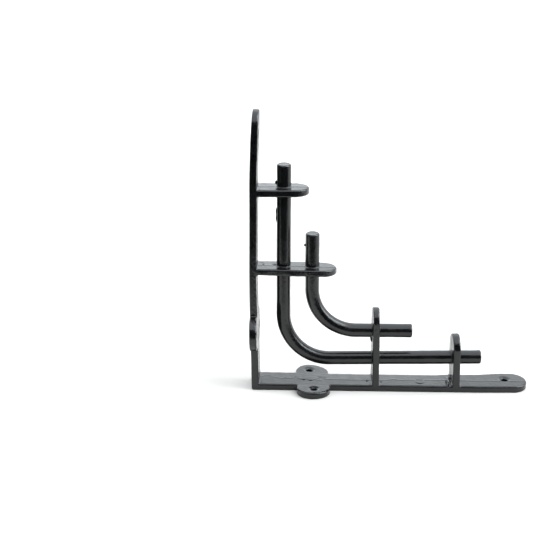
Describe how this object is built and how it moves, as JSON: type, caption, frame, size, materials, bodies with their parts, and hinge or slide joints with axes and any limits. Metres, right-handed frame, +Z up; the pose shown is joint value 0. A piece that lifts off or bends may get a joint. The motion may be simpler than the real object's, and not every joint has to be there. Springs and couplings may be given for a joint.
{
  "type": "shelf bracket",
  "caption": "Cast iron shelf bracket: two flat arms at a right angle with lobed screw lugs, and bent round rods held in round-ended tabs inside the corner.",
  "frame": {"origin": "under the middle of the bracket's box, at the height of the flat arm's outer face", "axes": "+X along the flat arm towards its free end, +Z up along the upright, Y across the bar's width; the mould's parting plane is Y = 0"},
  "size_m": [0.2, 0.0502, 0.203],
  "materials": {
    "black_paint": "satin black paint over cast iron"
  },
  "bodies": {
    "root": {"bracket": "black_paint"}
  },
  "joints": []
}
